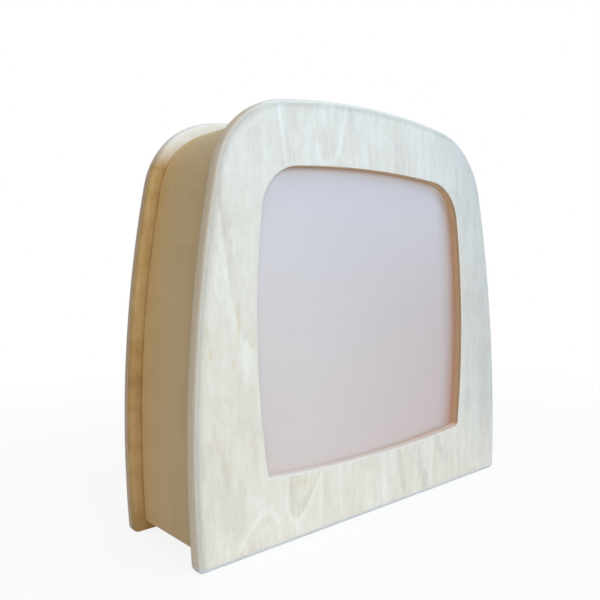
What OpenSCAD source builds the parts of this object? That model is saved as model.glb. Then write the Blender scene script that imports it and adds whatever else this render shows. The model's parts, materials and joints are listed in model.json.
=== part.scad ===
// Wooden light box: two rounded plywood panels on a bent plywood band, with an opal window lit from behind.
// Millimetres. X to the right, +Y to the rear, Z up. The origin is on the floor under the middle of the case.

/* [Case outline] */
// Height of the front and rear panels
case_h = 240; // [210:1:300]
// Width of the panels where they are widest
case_w = 251; // [220:1:320]
// Depth over both panels
case_d = 77; // [68:1:120]
// Radius of the bulging sides
side_r = 710; // [450:5:1200]
// Height at which the panels are widest
widest_z = 44.5; // [30:0.5:70]
// Radius of the crowned top edge
crown_r = 453; // [330:1:800]
// Radius of the shoulders between the sides and the top
shoulder_r = 51; // [44:1:64]
// Radius of the panels' bottom corners
foot_r = 4; // [3.5:0.5:8]

/* [Plywood] */
// Thickness of the front and rear panels
panel_t = 9; // [8:0.5:12]
// Round-over along the edges of both panels
edge_r = 3; // [1:0.5:3.5]
// Thickness of the bent band
band_t = 4; // [3:0.5:6]
// How far the band lies inside the panels' outline
band_inset = 6.6; // [4:0.2:10]
// Height of the band's lower edge above the floor
band_z = 7; // [4:0.5:12]
// Thickness of the bottom board
floor_t = 6; // [4:0.5:9]
// Leg length of the glue blocks in the bottom corners
block_leg = 16; // [10:1:22]
// Thickness of the front frame that clamps the pane
front_frame_t = 9; // [6:0.5:12]
// Thickness of the rear frame that takes the rear panel's screws
rear_frame_t = 12; // [12:0.5:15]
// Width of the rear frame's sides and top
rear_frame_w = 18; // [15:0.5:22]
// Height of the rear frame's lower rail
rear_rail_h = 12; // [8:0.5:14]
// Glue gap between the curved wooden pieces
glue_gap = 0.3; // [0.2:0.05:0.5]

/* [Window] */
// Width of the front panel beside the window, where both are widest
border_side = 38.7; // [35.5:0.1:55.5]
// Height of the front panel above the window, at the middle
border_top = 36.3; // [34:0.1:60]
// Height of the window's bottom edge at its middle
window_bottom_z = 34.2; // [32:0.1:60]
// Height at which the window is widest
window_widest_z = 111; // [90:1:130]
// Radius of the window's sides
window_side_r = 496; // [300:2:900]
// Radius of the window's top edge
window_crown_r = 618; // [400:2:1000]
// Radius of the window's bottom edge
window_sag_r = 864; // [500:2:1400]
// Radius of the window's top corners
window_shoulder_r = 27; // [20:1:40]
// Radius of the window's bottom corners
window_foot_r = 3; // [1:0.5:8]
// Thickness of the opal pane
pane_t = 3; // [2:0.5:4]
// Width of the rebate round the window
rebate_w = 8; // [6:0.5:10]
// How far the front frame laps over the pane
pane_grip = 5; // [3:0.5:6]
// Clearance between the pane's edge and the rebate
pane_gap = 0.5; // [0.3:0.1:1]

/* [Light board] */
// Thickness of the white board that carries the light strips
board_t = 3; // [2:0.5:5]
// Height of the board's lower edge
board_z = 53; // [53:0.5:60]
// Gap between the board and the rear frame's opening
board_gap = 3; // [2:0.5:6]
// Length of the spacers behind the board
spacer_l = 8; // [5:0.5:12]
// Diameter of the spacers
spacer_d = 8; // [6:0.5:10]
// Number of light strips
strip_count = 5; // [3:1:5]
// Number of lights on each strip
chip_count = 8; // [4:1:8]
// Distance of the strips' ends from the board's edge, where the board is widest
strip_end = 26.8; // [25:0.1:35]
// Width of a light strip
strip_w = 8; // [6:0.5:10]
// Thickness of a light strip
strip_t = 0.4; // [0.2:0.1:0.8]
// Side of a light
chip_w = 5; // [3:0.5:5]
// Thickness of a light
chip_t = 1.6; // [0.8:0.1:2]
// Margin between the outer strips and the board's ends
strip_margin = 10; // [8:0.5:14]

/* [Fasteners] */
// Shank diameter of the rear panel's screws
rear_screw_d = 4; // [3:0.5:4]
// Length of the rear panel's screws
rear_screw_l = 18; // [16:0.5:20]
// Outside diameter of the threaded inserts
insert_d = 6; // [5.5:0.1:7]
// Length of the threaded inserts
insert_l = 10; // [8:0.5:11]
// Height of the lower screws on each side
screw_low_z = 48; // [40:1:60]
// Height of the upper screws on each side
screw_high_z = 150; // [130:1:160]
// Distance of the top screws from the middle
screw_top_x = 40; // [30:1:50]
// Shank diameter of the wood screws inside
wood_screw_d = 3; // [2.5:0.5:3.5]
// How deep the wood screws bite into the panels
wood_bite = 5; // [4:0.5:6]
// Radial clearance round screws and inserts
screw_gap = 0.1; // [0.05:0.05:0.2]

/* [Switch and inlet] */
// Height of the switch and the inlet on the rear panel
service_z = 38; // [36:0.5:38]
// Distance of the switch from the middle
switch_x = 15; // [13:0.5:18]
// Distance of the inlet from the middle
jack_x = 15; // [13:0.5:18]
// Depth of the recess in the rear panel
recess_t = 5.5; // [5.5:0.1:6]
// Width of the recess
recess_w = 64; // [60:1:72]
// Height of the recess
recess_h = 32; // [28:1:34]
// Radius of the recess corners
recess_r = 6; // [3:0.5:10]
// Width of the switch housing
housing_w = 13; // [12:0.5:14]
// Height of the switch housing
housing_h = 19; // [18:0.5:20]
// Depth of the switch housing behind its bezel
housing_l = 13.5; // [13.5:0.5:16]
// Wall thickness of the switch housing
housing_wall = 1.2; // [1:0.1:1.5]
// Overlap of the bezel round the housing
bezel_lap = 1; // [0.8:0.1:1.5]
// Thickness of the bezel
bezel_t = 2; // [1.5:0.1:2]
// Tilt of the rocker to each side of its middle
rocker_tilt = 10; // [6:0.5:10]
// Clearance round the rocker inside the housing
rocker_gap = 0.3; // [0.2:0.05:0.4]
// Radius of the rocker's pivots
pivot_r = 1.2; // [1:0.1:1.4]
// Radial clearance round the rocker's pivots
pivot_gap = 0.05; // [0.02:0.01:0.1]
// Diameter of the inlet's centre pin
jack_pin_d = 2.1; // [2.1:0.4:2.5]
// Bore of the inlet
jack_bore_d = 5.7; // [5.6:0.1:6]
// Thread diameter of the inlet
jack_thread_d = 8; // [7.6:0.1:9]
// Diameter of the inlet's flange
jack_flange_d = 11; // [10:0.5:13]
// Thickness of the inlet's flange
jack_flange_t = 1.8; // [1:0.1:2.5]
// Depth of the inlet behind its flange
jack_l = 13; // [11:0.5:15]
// Diameter of the leads
lead_d = 1.6; // [1.2:0.1:1.8]

/* [Hidden] */
$fn = 48;

// Steps along the arcs of an outline
side_n = 14;
shoulder_n = 12;
crown_n = 10;
sag_n = 8;
foot_n = 4;
edge_n = 4;
// Cuts run this far past a face
past = 1;

// Planes along the depth
front_y = -case_d / 2;
front_back_y = front_y + panel_t;
rear_y = case_d / 2;
rear_inside_y = rear_y - panel_t;
inner_d = rear_inside_y - front_back_y;
pane_y = front_back_y - pane_t;
web_y = rear_y - recess_t;

// Window, from its borders in the panel
window_w = case_w - 2 * border_side;
window_top_z = case_h - border_top;

// Offsets of the nested outlines, measured inward from the panels' edge
frame_off = band_inset + band_t + glue_gap;
rear_screw_off = frame_off + rear_frame_w / 2;
board_off = frame_off + rear_frame_w + board_gap;
frame_z = band_z + floor_t;

// Light board and its rows
board_y = rear_inside_y - spacer_l - board_t;
strip_l = case_w - 2 * (board_off + strip_end);
chip_pitch = strip_l / chip_count;
row_low_z = board_z + strip_margin;
row_high_z = case_h - board_off - strip_margin - strip_w;
row_pitch = (row_high_z - row_low_z) / (strip_count - 1);
strip_y = board_y - strip_t;
spacer_in = 14;
spacer_x = strip_l / 2 - spacer_in;
spacer_zs = [row_low_z + row_pitch / 2, row_high_z - row_pitch / 2];
jumper_reach = 5;
jumper_out = 1;
jumper_bend = 1.5 * lead_d;
pad_gap = 2.4;
pad_in = 2;

// Screw heads
rear_head_d = 2 * rear_screw_d;
wood_head_d = 2 * wood_screw_d;
wood_screw_l = front_frame_t + wood_bite;
board_head_t = 1.8;
board_screw_l = board_t + spacer_l + wood_bite;
cross_w = 0.9;
cross_t = 1.2;

// Switch, measured from the rocker's pivot line
pivot_in = 1;
pivot_y = web_y - pivot_in;
cavity_w = housing_w - 2 * housing_wall;
cavity_h = housing_h - 2 * housing_wall;
rocker_w = cavity_w - 2 * rocker_gap;
rocker_r = cavity_h / 2 - rocker_gap;
bezel_top = web_y + bezel_t - pivot_y;
rocker_under = 2;
stem_r = 1.7;
stem_l = 5;
plunger_r = 1;
plunger_reach = 7.5;
blade_t = 0.5;
blade_w = 4;
blade_l = 12;
blade_gap = 0.3;
blade_low = plunger_reach + plunger_r + blade_gap + blade_t;
blade_ratio = 0.6;
blade_tilt = rocker_tilt * blade_ratio;
floor_in_y = web_y - housing_l + housing_wall;
terminal_w = 4.8;
terminal_t = 0.8;
terminal_l = 7;
terminal_z = 5;
fulcrum_r = terminal_t / 2;
fulcrum_y = pivot_y - blade_low - pivot_gap - fulcrum_r;
wing_t = 0.8;
wing_l = 3;
wing_w = 8;
fit_gap = 0.2;

// Inlet
nut_w = 11;
nut_t = 2.2;
jack_bore_l = 10;
jack_bore_y = web_y + jack_flange_t - jack_bore_l;
jack_pin_in = 1;
jack_base_d = 3;
lug_w = 2.4;
lug_t = 0.5;
lug_l = 5;
lug_x = 2.7;

// Leads
lead_r = lead_d / 2;
lead_sides = 8;
lead_steps = 4;
clip_x = 40;
clip_w = 6;
clip_t = 3;
clip_h = 12;
clip_wall = 0.5;
clip_up = 4;
clip_z = service_z + clip_up;
lead_pitch = 4;
lead_off = 2;
lead_bow = 4;
lead_dip = 3;
lead_run = 6;
lead_y = rear_inside_y - lead_off;
switch_tip_y = web_y - housing_l - terminal_l;
lug_tip_y = web_y - jack_l - lug_l;

function angle(v) = atan2(v[1], v[0]);

// Points along an arc, without its last one
function arc(c, r, a0, a1, n) =
    [for (i = [0:n - 1]) let (a = a0 + (a1 - a0) * i / n) c + r * [cos(a), sin(a)]];

// Where two circles cross, on the left of the line from the first centre to the second
function cross_left(c1, r1, c2, r2) =
    let (v = c2 - c1, l = norm(v), u = v / l, x = (r1 * r1 - r2 * r2 + l * l) / (2 * l))
    c1 + x * u + sqrt(r1 * r1 - x * x) * [-u[1], u[0]];

// Closed outline of tangent arcs, moved inward by d: bulging sides, crowned top, and a flat or sagging base
function loaf(w, side, widest, top, crown, shoulder, base, sag, foot, d) =
    let (
        side_c = [w / 2 - side, widest],
        crown_c = [0, top - crown],
        sag_c = [0, base + sag],
        f = max(foot - d, 0),
        shoulder_c = cross_left(side_c, side - shoulder, crown_c, crown - shoulder),
        foot_z = base + d + f,
        foot_c = sag > 0
            ? cross_left(sag_c, sag - d - f, side_c, side - d - f)
            : [side_c[0] + sqrt(pow(side - d - f, 2) - pow(foot_z - widest, 2)), foot_z],
        base_a = sag > 0 ? angle(foot_c - sag_c) : -90,
        low_a = angle(foot_c - side_c),
        high_a = angle(shoulder_c - side_c),
        top_a = angle(shoulder_c - crown_c),
        right = concat(
            sag > 0 ? arc(sag_c, sag - d, -90, base_a, sag_n) : [],
            f > 0 ? arc(foot_c, f, base_a, low_a, foot_n) : [],
            arc(side_c, side - d, low_a, high_a, side_n),
            arc(shoulder_c, shoulder - d, high_a, top_a, shoulder_n),
            arc(crown_c, crown - d, top_a, 90, crown_n)),
        first = sag > 0 ? 1 : 0,
        left = [for (i = [len(right) - 1:-1:first]) [-right[i][0], right[i][1]]])
    concat(right, [[0, top - d]], left);

// Panel outline, moved inward by d
function panel_outline(d) =
    loaf(case_w, side_r, widest_z, case_h, crown_r, shoulder_r, 0, 0, foot_r, d);

// The same outline cut off straight at height z
function arch(d, z) =
    loaf(case_w, side_r, widest_z, case_h, crown_r, shoulder_r, z - d, 0, 0, d);

// Window outline, moved inward by d
function window_outline(d) =
    loaf(window_w, window_side_r, window_widest_z, window_top_z, window_crown_r, window_shoulder_r,
        window_bottom_z, window_sag_r, window_foot_r, d);

// Half width of the arch at height z, below the shoulders
function side_x(d, z) = case_w / 2 - side_r + sqrt(pow(side_r - d, 2) - pow(z - widest_z, 2));

// Height of the arch at x, between the shoulders
function crown_z(d, x) = case_h - crown_r + sqrt(pow(crown_r - d, 2) - x * x);

// Half width of the rebate at height z, and its top at x
function rebate_x(z) =
    window_w / 2 - window_side_r + sqrt(pow(window_side_r + rebate_w, 2) - pow(z - window_widest_z, 2));
function rebate_z(x) = window_top_z - window_crown_r + sqrt(pow(window_crown_r + rebate_w, 2) - x * x);

// Middle of the front frame's ring between its outer edge and the rebate
function ring_x(z) = (side_x(frame_off, z) + rebate_x(z)) / 2;
function ring_z(x) = (crown_z(frame_off, x) + rebate_z(x)) / 2;

// Six screw places as [x, z]: low and high on each side, and on the top
function six_places(low_x, high_x, top_z) = [for (s = [-1, 1]) each [
    [s * low_x, screw_low_z],
    [s * high_x, screw_high_z],
    [s * screw_top_x, top_z]]];
front_screw_at = six_places(ring_x(screw_low_z), ring_x(screw_high_z), ring_z(screw_top_x));
rear_screw_at = six_places(side_x(rear_screw_off, screw_low_z), side_x(rear_screw_off, screw_high_z),
    crown_z(rear_screw_off, screw_top_x));

// Heights of the light rows
function row_z(i) = row_low_z + i * row_pitch;

// Smooth curve through the points p, with n steps from point to point
function spline(p, n) = concat(
    [for (i = [0:len(p) - 2], k = [0:n - 1])
        let (
            a = p[max(i - 1, 0)],
            b = p[i],
            c = p[i + 1],
            d = p[min(i + 2, len(p) - 1)],
            t = k / n)
        b + t * (c - a) / 2 + t * t * (a - 2.5 * b + 2 * c - d / 2) + t * t * t * (1.5 * (b - c) + (d - a) / 2)],
    [p[len(p) - 1]]);

function unit(v) = v / norm(v);

function tangent(p, i) = unit(p[min(i + 1, len(p) - 1)] - p[max(i - 1, 0)]);

// Part of v that is square to the direction t
function square_to(v, t) = unit(v - (v * t) * t);

// Plate in the XZ plane, from y to y + t
module slab(y, t) {
    translate([0, y + t, 0])
        rotate([90, 0, 0])
            linear_extrude(t)
                children();
}

// Cylinder along Y, from y to y + l
module rod(x, y, z, r, l) {
    translate([x, y, z])
        rotate([-90, 0, 0])
            cylinder(h = l, r = r);
}

// Box centred in X and Z, from y to y + l
module block(x, y, z, w, l, h) {
    translate([x - w / 2, y, z - h / 2])
        cube([w, l, h]);
}

// Box with round edges along Y
module round_block(x, y, z, w, l, h, r) {
    block(x, y, z, w - 2 * r, l, h);
    block(x, y, z, w, l, h - 2 * r);
    for (sx = [-1, 1], sz = [-1, 1])
        rod(x + sx * (w / 2 - r), y, z + sz * (h / 2 - r), r, l);
}

// Panel with both edges rounded over
module panel_blank(y) {
    hull()
        for (i = [0:edge_n])
            let (a = 90 * i / edge_n, sink = edge_r * (1 - cos(a)))
                slab(y + sink, panel_t - 2 * sink)
                    polygon(panel_outline(edge_r * (1 - sin(a))));
}

// Countersunk screw along +Y with its head's face at y = 0, grown all round by gap
module sunk_screw(d, head_d, l, gap) {
    rotate([-90, 0, 0]) {
        cylinder(h = l + gap, r = d / 2 + gap);
        cylinder(h = (head_d - d) / 2 + gap, r1 = head_d / 2 + gap, r2 = d / 2);
    }
}

// Cross slot in a screw head whose face is at y = 0
module cross_slot(d) {
    for (a = [0, 90])
        rotate([0, a, 0])
            block(0, -past, 0, cross_w, cross_t + past, d);
}

// Tube of radius r swept along the points p, starting with its first side towards v
module tube(p, r, v) {
    n = len(p);
    rings = [for (i = 0, s = square_to(v, tangent(p, 0)); i < n;
            i = i + 1, s = i < n ? square_to(s, tangent(p, i)) : s)
        let (b = cross(tangent(p, i), s))
        each [for (k = [0:lead_sides - 1])
            let (a = 360 * k / lead_sides) p[i] + r * (cos(a) * s + sin(a) * b)]];
    walls = [for (i = [0:n - 2], k = [0:lead_sides - 1])
        let (
            a = i * lead_sides + k,
            b = i * lead_sides + (k + 1) % lead_sides)
        each [[a, a + lead_sides, b], [b, a + lead_sides, b + lead_sides]]];
    near_end = [for (k = [0:lead_sides - 1]) k];
    far_end = [for (k = [lead_sides - 1:-1:0]) (n - 1) * lead_sides + k];
    polyhedron(rings, concat(walls, [near_end, far_end]));
}

module front_panel() {
    color("wheat")
        difference() {
            panel_blank(front_y);
            slab(front_y - past, panel_t + 2 * past)
                polygon(window_outline(0));
            slab(pane_y, pane_t + past)
                polygon(window_outline(-rebate_w));
            for (p = front_screw_at)
                rod(p[0], front_back_y - wood_bite - screw_gap, p[1], wood_screw_d / 2 + screw_gap, panel_t);
        }
}

module rear_panel() {
    color("wheat")
        difference() {
            panel_blank(rear_inside_y);
            round_block(0, web_y, service_z, recess_w, recess_t + past, recess_h, recess_r);
            block(switch_x, rear_inside_y - past, service_z,
                housing_w + 2 * fit_gap, panel_t, housing_h + 2 * fit_gap);
            rod(-jack_x, rear_inside_y - past, service_z, jack_thread_d / 2 + screw_gap, panel_t);
            for (p = rear_screw_at)
                translate([p[0], rear_y, p[1]])
                    rotate([0, 0, 180])
                        sunk_screw(rear_screw_d, rear_head_d, panel_t + past, screw_gap);
            for (sx = [-1, 1], z = spacer_zs)
                rod(sx * spacer_x, rear_inside_y - past, z,
                    wood_screw_d / 2 + screw_gap, wood_bite + screw_gap + past);
        }
}

module side_band() {
    color("burlywood")
        slab(front_back_y, inner_d)
            difference() {
                polygon(arch(band_inset, band_z));
                polygon(arch(band_inset + band_t, band_z - past));
            }
}

module bottom_board() {
    end_low = side_x(frame_off, band_z);
    end_high = side_x(frame_off, frame_z);
    color("burlywood")
        slab(front_back_y, inner_d)
            polygon([[-end_low, band_z], [end_low, band_z], [end_high, frame_z], [-end_high, frame_z]]);
}

module corner_blocks() {
    low_x = side_x(frame_off, frame_z);
    high_x = side_x(frame_off, frame_z + block_leg);
    y = front_back_y + front_frame_t;
    color("tan")
        for (s = [-1, 1])
            slab(y, inner_d - front_frame_t - rear_frame_t)
                polygon([[s * low_x, frame_z], [s * (low_x - block_leg), frame_z], [s * high_x, frame_z + block_leg]]);
}

module front_frame() {
    color("burlywood")
        difference() {
            slab(front_back_y, front_frame_t)
                difference() {
                    polygon(arch(frame_off, frame_z));
                    polygon(window_outline(pane_grip - rebate_w));
                }
            for (p = front_screw_at)
                translate([p[0], front_back_y + front_frame_t, p[1]])
                    rotate([0, 0, 180])
                        sunk_screw(wood_screw_d, wood_head_d, front_frame_t + past, screw_gap);
        }
}

module rear_frame() {
    y = rear_inside_y - rear_frame_t;
    color("burlywood")
        difference() {
            slab(y, rear_frame_t)
                difference() {
                    polygon(arch(frame_off, frame_z));
                    polygon(arch(frame_off + rear_frame_w, frame_z + rear_rail_h));
                }
            for (p = rear_screw_at) {
                rod(p[0], rear_inside_y - insert_l - screw_gap, p[1], insert_d / 2 + screw_gap, rear_frame_t);
                rod(p[0], y - past, p[1], rear_screw_d / 2 + screw_gap, rear_frame_t);
            }
        }
}

module frame_screws() {
    color("silver")
        for (p = front_screw_at)
            translate([p[0], front_back_y + front_frame_t, p[1]])
                rotate([0, 0, 180])
                    difference() {
                        sunk_screw(wood_screw_d, wood_head_d, wood_screw_l, 0);
                        cross_slot(wood_screw_d);
                    }
}

module rear_inserts() {
    color("goldenrod")
        for (p = rear_screw_at)
            difference() {
                rod(p[0], rear_inside_y - insert_l, p[1], insert_d / 2, insert_l);
                rod(p[0], rear_inside_y - insert_l - past, p[1], rear_screw_d / 2 + screw_gap, insert_l + 2 * past);
            }
}

module rear_screws() {
    color("silver")
        for (p = rear_screw_at)
            translate([p[0], rear_y, p[1]])
                rotate([0, 0, 180])
                    difference() {
                        sunk_screw(rear_screw_d, rear_head_d, rear_screw_l, 0);
                        cross_slot(rear_screw_d);
                    }
}

module diffuser_pane() {
    color("lavender")
        slab(pane_y, pane_t)
            polygon(window_outline(pane_gap - rebate_w));
}

module led_backboard() {
    color("white")
        difference() {
            slab(board_y, board_t)
                polygon(arch(board_off, board_z));
            for (sx = [-1, 1], z = spacer_zs)
                rod(sx * spacer_x, board_y - past, z, wood_screw_d / 2 + screw_gap, board_t + 2 * past);
        }
}

module board_spacers() {
    color("whitesmoke")
        for (sx = [-1, 1], z = spacer_zs)
            difference() {
                rod(sx * spacer_x, board_y + board_t, z, spacer_d / 2, spacer_l);
                rod(sx * spacer_x, board_y, z, wood_screw_d / 2 + screw_gap, board_t + spacer_l + past);
            }
}

module board_screws() {
    color("silver")
        for (sx = [-1, 1], z = spacer_zs)
            translate([sx * spacer_x, board_y, z])
                difference() {
                    union() {
                        rod(0, 0, 0, wood_screw_d / 2, board_screw_l);
                        rod(0, -board_head_t, 0, wood_head_d / 2, board_head_t);
                    }
                    translate([0, -board_head_t, 0])
                        cross_slot(wood_screw_d);
                }
}

module led_strips() {
    color("ivory")
        for (i = [0:strip_count - 1])
            block(0, strip_y, row_z(i), strip_l, strip_t, strip_w);
}

module led_chips() {
    color("lightyellow")
        for (i = [0:strip_count - 1], k = [0:chip_count - 1])
            block((k - (chip_count - 1) / 2) * chip_pitch, strip_y - chip_t, row_z(i), chip_w, chip_t, chip_w);
}

// Two bridging wires from each strip to the next, at the right and left ends in turn
module strip_jumpers() {
    end_x = strip_l / 2;
    y = strip_y - lead_r;
    color("tomato")
        for (i = [0:strip_count - 2], rail = [-1, 1]) {
            side = i % 2 == 0 ? 1 : -1;
            low_z = row_z(i) + rail * pad_gap;
            high_z = row_z(i + 1) - rail * pad_gap;
            far_x = end_x + jumper_reach - rail * pad_gap;
            route = [
                [side * (end_x - pad_in), y, low_z],
                [side * (end_x + jumper_out), y, low_z],
                [side * far_x, y, low_z + jumper_bend],
                [side * far_x, y, high_z - jumper_bend],
                [side * (end_x + jumper_out), y, high_z],
                [side * (end_x - pad_in), y, high_z]];
            tube(spline(route, lead_steps), lead_r, [0, 1, 0]);
        }
}

// Lead from the inlet to the switch
module feed_lead() {
    route = [
        [-jack_x + lug_x, lug_tip_y - lead_r, service_z],
        [-jack_x + lug_x + lead_bow, lug_tip_y - lead_bow, service_z - lead_dip / 3],
        [0, switch_tip_y - lead_dip, service_z - lead_dip],
        [switch_x - lead_run, switch_tip_y - lead_bow, service_z - terminal_z],
        [switch_x, switch_tip_y - lead_r, service_z - terminal_z]];
    color("firebrick")
        tube(spline(route, lead_steps), lead_r, [0, 0, 1]);
}

// Lead from the switch, through the clip, round the board's lower edge to the first strip
module switched_lead() {
    z = clip_z + lead_pitch / 2;
    route = concat(
        [
            [switch_x, switch_tip_y - lead_r, service_z],
            [switch_x - lead_run, switch_tip_y - lead_bow, service_z + lead_dip],
            [-lead_bow, switch_tip_y, z]],
        clip_route(z, -strip_l / 2 - jumper_reach, row_low_z - pad_gap));
    color("firebrick")
        tube(spline(route, lead_steps), lead_r, [0, 0, 1]);
}

// Lead from the inlet, through the clip, round the board's lower edge to the first strip
module return_lead() {
    z = clip_z - lead_pitch / 2;
    route = concat(
        [
            [-jack_x - lug_x, lug_tip_y - lead_r, service_z],
            [-jack_x - lug_x - lead_bow, lug_tip_y - lead_off, service_z]],
        clip_route(z, -strip_l / 2 - jumper_reach - lead_pitch, row_low_z + pad_gap));
    color("dimgray")
        tube(spline(route, lead_steps), lead_r, [0, 0, 1]);
}

// The last stretch of a lead: straight through the clip at height z, up past the board's edge at x, to a pad
function clip_route(z, x, pad_z) = concat(
    [for (k = [1.5, 0.5, -0.5, -1.5]) [-clip_x + k * clip_w, lead_y, z]],
    [
        [x, board_y - lead_dip, (z + board_z) / 2],
        [x, strip_y - lead_off, pad_z - lead_d],
        [-strip_l / 2 + pad_in, strip_y - lead_r, pad_z]]);

// Saddle on the rear panel that the two leads run through
module lead_clips() {
    low_y = lead_y - clip_t / 2 - clip_wall;
    color("whitesmoke")
        difference() {
            block(-clip_x, low_y, clip_z, clip_w, rear_inside_y - low_y, clip_h);
            for (s = [-1, 1])
                translate([-clip_x - clip_w, lead_y, clip_z + s * lead_pitch / 2])
                    rotate([0, 90, 0])
                        cylinder(h = 2 * clip_w, r = lead_r + fit_gap);
        }
}

module switch_housing() {
    bezel_w = housing_w + 2 * bezel_lap;
    bezel_h = housing_h + 2 * bezel_lap;
    color("black")
        difference() {
            union() {
                round_block(switch_x, web_y, service_z, bezel_w, bezel_t, bezel_h, bezel_lap);
                block(switch_x, web_y - housing_l, service_z, housing_w, housing_l, housing_h);
                for (s = [-1, 1])
                    translate([switch_x + s * housing_w / 2, rear_inside_y - fit_gap, service_z - wing_w / 2])
                        linear_extrude(wing_w)
                            polygon([[0, 0], [s * wing_t, 0], [0, -wing_l]]);
            }
            block(switch_x, floor_in_y, service_z, cavity_w, housing_l + bezel_t, cavity_h);
            translate([switch_x - housing_w, pivot_y, service_z])
                rotate([0, 90, 0])
                    cylinder(h = 2 * housing_w, r = pivot_r + pivot_gap);
            for (z = [0, -terminal_z])
                block(switch_x, floor_in_y - housing_l, service_z + z,
                    terminal_w + 2 * fit_gap, housing_l + past, terminal_t + 2 * fit_gap);
        }
}

// The rocker at rest: its lower half is pressed in, which is off
module switch_rocker() {
    rise = rocker_r * tan(rocker_tilt);
    color("black")
        translate([switch_x, pivot_y, service_z])
            rotate([-rocker_tilt, 0, 0])
                difference() {
                    union() {
                        intersection() {
                            translate([-rocker_w / 2, 0, 0])
                                rotate([0, 90, 0])
                                    cylinder(h = rocker_w, r = rocker_r);
                            translate([-rocker_w / 2, 0, 0])
                                rotate([90, 0, 90])
                                    linear_extrude(rocker_w)
                                        polygon([
                                            [-rocker_under, -rocker_r], [bezel_top + rise, -rocker_r],
                                            [bezel_top, 0],
                                            [bezel_top + rise, rocker_r], [-rocker_under, rocker_r]]);
                        }
                        translate([-housing_w / 2 + fit_gap, 0, 0])
                            rotate([0, 90, 0])
                                cylinder(h = housing_w - 2 * fit_gap, r = pivot_r);
                        rod(0, -stem_l, 0, stem_r, stem_l);
                    }
                    rod(0, -stem_l - past, 0, plunger_r + screw_gap, stem_l - pivot_r + past);
                }
}

// Brass plunger in the rocker's stem, which pushes the contact blade over
module switch_plunger() {
    color("goldenrod")
        translate([switch_x, pivot_y, service_z])
            rotate([-rocker_tilt, 0, 0]) {
                rod(0, -plunger_reach, 0, plunger_r, plunger_reach - pivot_r - fit_gap);
                translate([0, -plunger_reach, 0])
                    sphere(r = plunger_r);
            }
}

// Blade that see-saws on the middle terminal, opposite to the rocker
module switch_contact() {
    color("goldenrod")
        translate([switch_x, fulcrum_y, service_z])
            rotate([blade_tilt, 0, 0])
                block(0, fulcrum_r + pivot_gap, 0, blade_w, blade_t, blade_l);
}

// Middle terminal with the blade's rounded fulcrum, and end terminal with the fixed contact
module switch_terminals() {
    dip = blade_l / 2 * sin(blade_tilt);
    contact_y = fulcrum_y + fulcrum_r - dip - fit_gap;
    color("goldenrod") {
        block(switch_x, switch_tip_y, service_z, terminal_w, fulcrum_y - switch_tip_y, terminal_t);
        translate([switch_x - terminal_w / 2, fulcrum_y, service_z])
            rotate([0, 90, 0])
                cylinder(h = terminal_w, r = fulcrum_r);
        block(switch_x, switch_tip_y, service_z - terminal_z, terminal_w, contact_y - switch_tip_y, terminal_t);
    }
}

module jack_body() {
    color("dimgray")
        difference() {
            union() {
                rod(-jack_x, web_y, service_z, jack_flange_d / 2, jack_flange_t);
                rod(-jack_x, web_y - jack_l, service_z, jack_thread_d / 2, jack_l);
            }
            rod(-jack_x, jack_bore_y, service_z, jack_bore_d / 2, jack_bore_l + past);
            rod(-jack_x, web_y - jack_l - past, service_z, jack_base_d / 2 + pivot_gap, jack_l);
            for (s = [-1, 1])
                block(-jack_x + s * lug_x, web_y - jack_l - past, service_z,
                    lug_t + fit_gap, lug_t + past + fit_gap, lug_w + fit_gap);
        }
}

// Centre pin, with a thicker base in the body
module jack_pin() {
    back_y = web_y - jack_l + lug_t;
    color("silver") {
        rod(-jack_x, back_y, service_z, jack_base_d / 2, jack_bore_y - back_y);
        rod(-jack_x, jack_bore_y, service_z, jack_pin_d / 2, jack_bore_l - jack_pin_in);
    }
}

// Two solder lugs at the back of the inlet
module jack_terminals() {
    color("silver")
        for (s = [-1, 1])
            block(-jack_x + s * lug_x, lug_tip_y, service_z, lug_t, lug_l + lug_t, lug_w);
}

module jack_nut() {
    color("silver")
        difference() {
            translate([-jack_x, rear_inside_y - nut_t, service_z])
                rotate([-90, 0, 0])
                    cylinder(h = nut_t, d = nut_w / cos(30), $fn = 6);
            rod(-jack_x, rear_inside_y - nut_t - past, service_z, jack_thread_d / 2 + screw_gap, nut_t + 2 * past);
        }
}

front_panel();
rear_panel();
side_band();
bottom_board();
corner_blocks();
front_frame();
rear_frame();
frame_screws();
rear_inserts();
rear_screws();
diffuser_pane();
led_backboard();
board_spacers();
board_screws();
led_strips();
led_chips();
strip_jumpers();
feed_lead();
switched_lead();
return_lead();
lead_clips();
switch_housing();
switch_rocker();
switch_plunger();
switch_contact();
switch_terminals();
jack_body();
jack_pin();
jack_terminals();
jack_nut();
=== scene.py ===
"""Looks of the wooden light box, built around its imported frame. Metres, +Z up, +Y to the rear."""
import json
import math

import bmesh
import bpy
from mathutils import Matrix, Vector


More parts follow.
